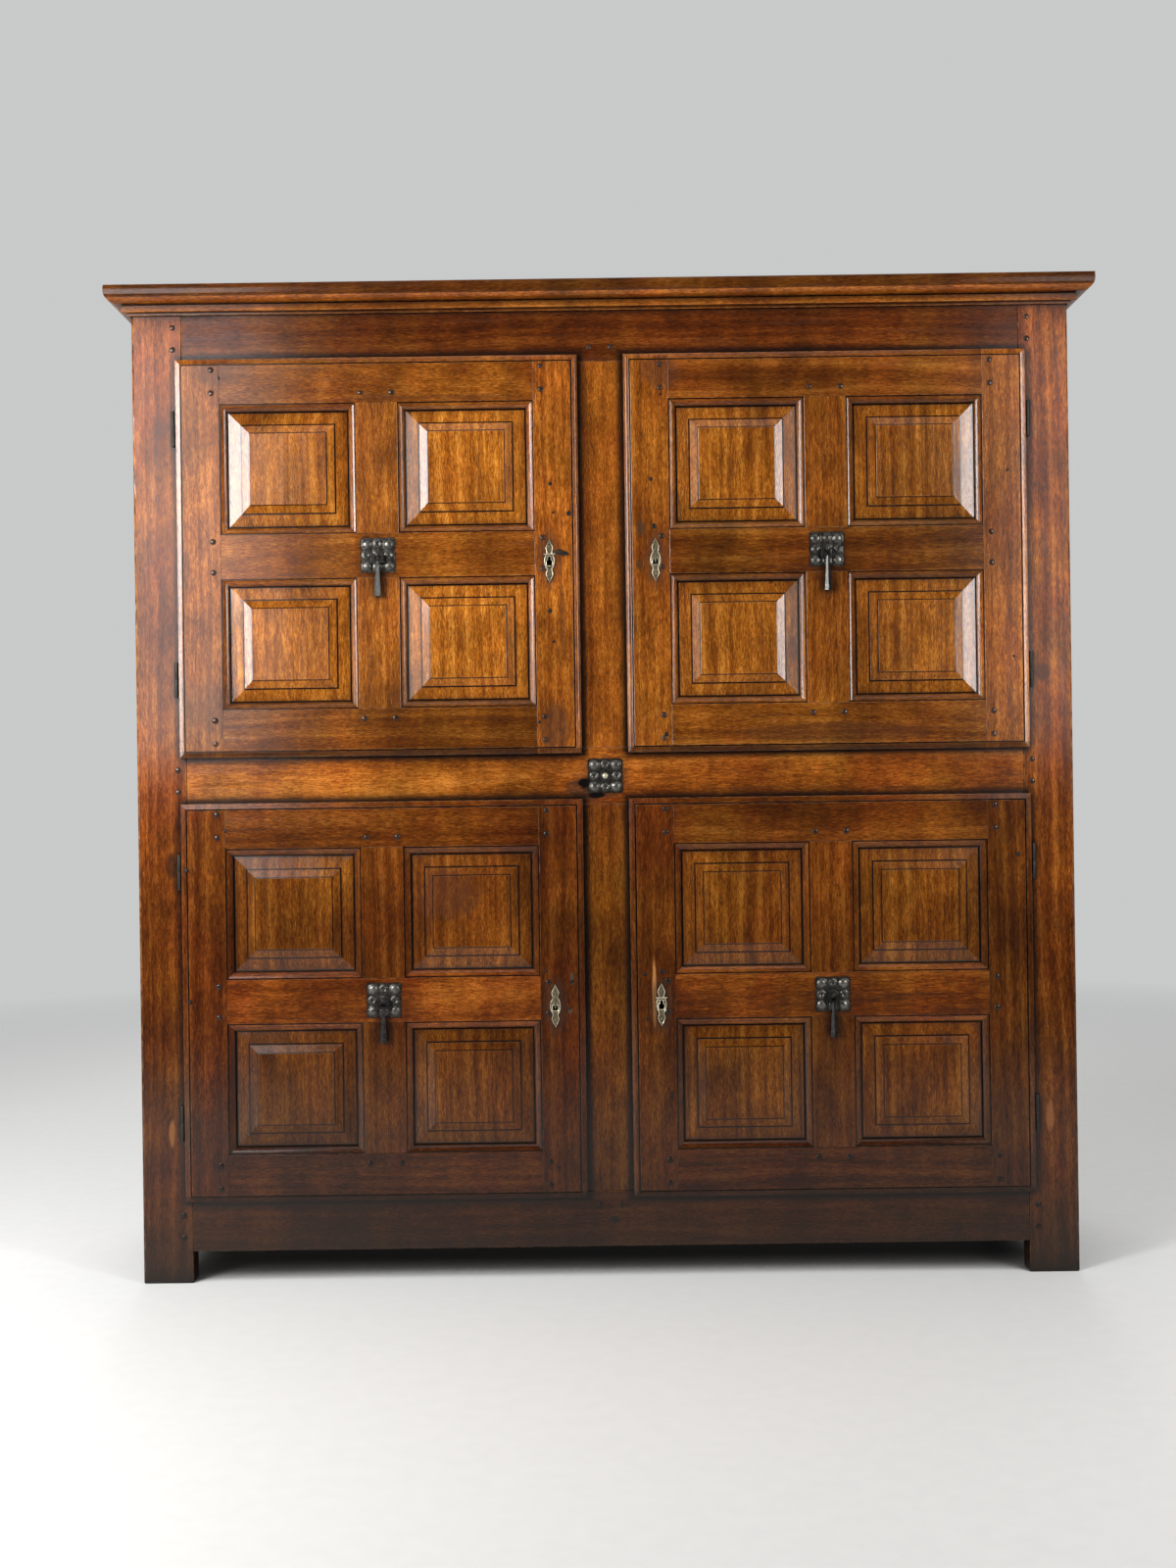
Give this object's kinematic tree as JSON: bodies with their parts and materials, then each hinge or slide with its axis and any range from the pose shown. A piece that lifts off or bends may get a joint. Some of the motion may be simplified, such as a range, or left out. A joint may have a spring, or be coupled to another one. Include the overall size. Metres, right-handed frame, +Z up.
{
  "type": "four-door cabinet",
  "caption": "Free-standing period cupboard with two tiers of fielded-panel doors on pin hinges, rim locks, drop handles, inner shelves and a moulded cornice.",
  "frame": {"origin": "on the floor, at the middle of the whole plan with its cornice", "axes": "+X to the right of someone facing the doors, +Y to the back, +Z up"},
  "size_m": [1.782, 0.56, 1.805],
  "materials": {
    "walnut": "waxed, worn",
    "inner_wood": "dry, unpolished",
    "iron": "forged, blackened"
  },
  "bodies": {
    "carcase": {"back_boards": "inner_wood", "back_rails": "inner_wood", "back_stiles": "walnut", "bottom_rail": "walnut", "centre_plate": "iron", "cornice": "walnut", "frame_pegs": "walnut", "front_stiles": "walnut", "hinge_pins": "iron", "hinge_plates": "iron", "middle_rail": "walnut", "muntins": "walnut", "shelf_battens": "inner_wood", "shelf_boards": "inner_wood", "side_panels": "walnut", "side_rails": "walnut", "top_boards": "inner_wood", "top_rail": "walnut"},
    "upper_left_door": {"upper_left_stiles": "walnut", "upper_left_rails": "walnut", "upper_left_muntins": "walnut", "upper_left_panels": "walnut", "upper_left_hinge_straps": "iron", "upper_left_lock_case": "iron", "upper_left_escutcheon": "iron", "upper_left_handle_plate": "iron"},
    "upper_left_bolt": {"upper_left_lock_bolt": "iron"},
    "upper_left_drop": {"upper_left_drop_handle": "iron"},
    "upper_right_door": {"upper_right_stiles": "walnut", "upper_right_rails": "walnut", "upper_right_muntins": "walnut", "upper_right_panels": "walnut", "upper_right_hinge_straps": "iron", "upper_right_lock_case": "iron", "upper_right_escutcheon": "iron", "upper_right_handle_plate": "iron"},
    "upper_right_bolt": {"upper_right_lock_bolt": "iron"},
    "upper_right_drop": {"upper_right_drop_handle": "iron"},
    "upper_right_cover": {"upper_right_key_cover": "iron"},
    "lower_left_door": {"lower_left_stiles": "walnut", "lower_left_rails": "walnut", "lower_left_muntins": "walnut", "lower_left_panels": "walnut", "lower_left_hinge_straps": "iron", "lower_left_lock_case": "iron", "lower_left_escutcheon": "iron", "lower_left_handle_plate": "iron"},
    "lower_left_bolt": {"lower_left_lock_bolt": "iron"},
    "lower_left_drop": {"lower_left_drop_handle": "iron"},
    "lower_left_cover": {"lower_left_key_cover": "iron"},
    "lower_right_door": {"lower_right_stiles": "walnut", "lower_right_rails": "walnut", "lower_right_muntins": "walnut", "lower_right_panels": "walnut", "lower_right_hinge_straps": "iron", "lower_right_lock_case": "iron", "lower_right_escutcheon": "iron", "lower_right_handle_plate": "iron"},
    "lower_right_bolt": {"lower_right_lock_bolt": "iron"},
    "lower_right_drop": {"lower_right_drop_handle": "iron"}
  },
  "joints": [
    {"name": "upper_left_door_hinge", "type": "hinge", "parent": "carcase", "child": "upper_left_door", "pos_m": [-0.775, -0.2445, 1.323], "axis": [0, 0, -1], "range_deg": [0, 110]},
    {"name": "upper_left_bolt_slide", "type": "slide", "parent": "upper_left_door", "child": "upper_left_bolt", "axis": [1, 0, 0], "range_m": [0, 0.011]},
    {"name": "upper_left_drop_swing", "type": "hinge", "parent": "upper_left_door", "child": "upper_left_drop", "pos_m": [-0.406, -0.2648, 1.316], "axis": [-1, 0, 0], "range_deg": [0, 170]},
    {"name": "upper_right_door_hinge", "type": "hinge", "parent": "carcase", "child": "upper_right_door", "pos_m": [0.775, -0.2445, 1.323], "axis": [0, 0, 1], "range_deg": [0, 110]},
    {"name": "upper_right_bolt_slide", "type": "slide", "parent": "upper_right_door", "child": "upper_right_bolt", "axis": [-1, 0, 0], "range_m": [0, 0.011]},
    {"name": "upper_right_drop_swing", "type": "hinge", "parent": "upper_right_door", "child": "upper_right_drop", "pos_m": [0.406, -0.2648, 1.316], "axis": [-1, 0, 0], "range_deg": [0, 170]},
    {"name": "upper_right_cover_swing", "type": "hinge", "parent": "upper_right_door", "child": "upper_right_cover", "pos_m": [0.096, -0.256, 1.319], "axis": [0, 1, 0], "range_deg": [-90, 90]},
    {"name": "lower_left_door_hinge", "type": "hinge", "parent": "carcase", "child": "lower_left_door", "pos_m": [-0.775, -0.2445, 0.518], "axis": [0, 0, -1], "range_deg": [0, 110]},
    {"name": "lower_left_bolt_slide", "type": "slide", "parent": "lower_left_door", "child": "lower_left_bolt", "axis": [1, 0, 0], "range_m": [0, 0.011]},
    {"name": "lower_left_drop_swing", "type": "hinge", "parent": "lower_left_door", "child": "lower_left_drop", "pos_m": [-0.406, -0.2648, 0.511], "axis": [-1, 0, 0], "range_deg": [0, 170]},
    {"name": "lower_left_cover_swing", "type": "hinge", "parent": "lower_left_door", "child": "lower_left_cover", "pos_m": [-0.096, -0.256, 0.514], "axis": [0, 1, 0], "range_deg": [-90, 90]},
    {"name": "lower_right_door_hinge", "type": "hinge", "parent": "carcase", "child": "lower_right_door", "pos_m": [0.775, -0.2445, 0.518], "axis": [0, 0, 1], "range_deg": [0, 110]},
    {"name": "lower_right_bolt_slide", "type": "slide", "parent": "lower_right_door", "child": "lower_right_bolt", "axis": [-1, 0, 0], "range_m": [0, 0.011]},
    {"name": "lower_right_drop_swing", "type": "hinge", "parent": "lower_right_door", "child": "lower_right_drop", "pos_m": [0.406, -0.2648, 0.511], "axis": [-1, 0, 0], "range_deg": [0, 170]}
  ]
}
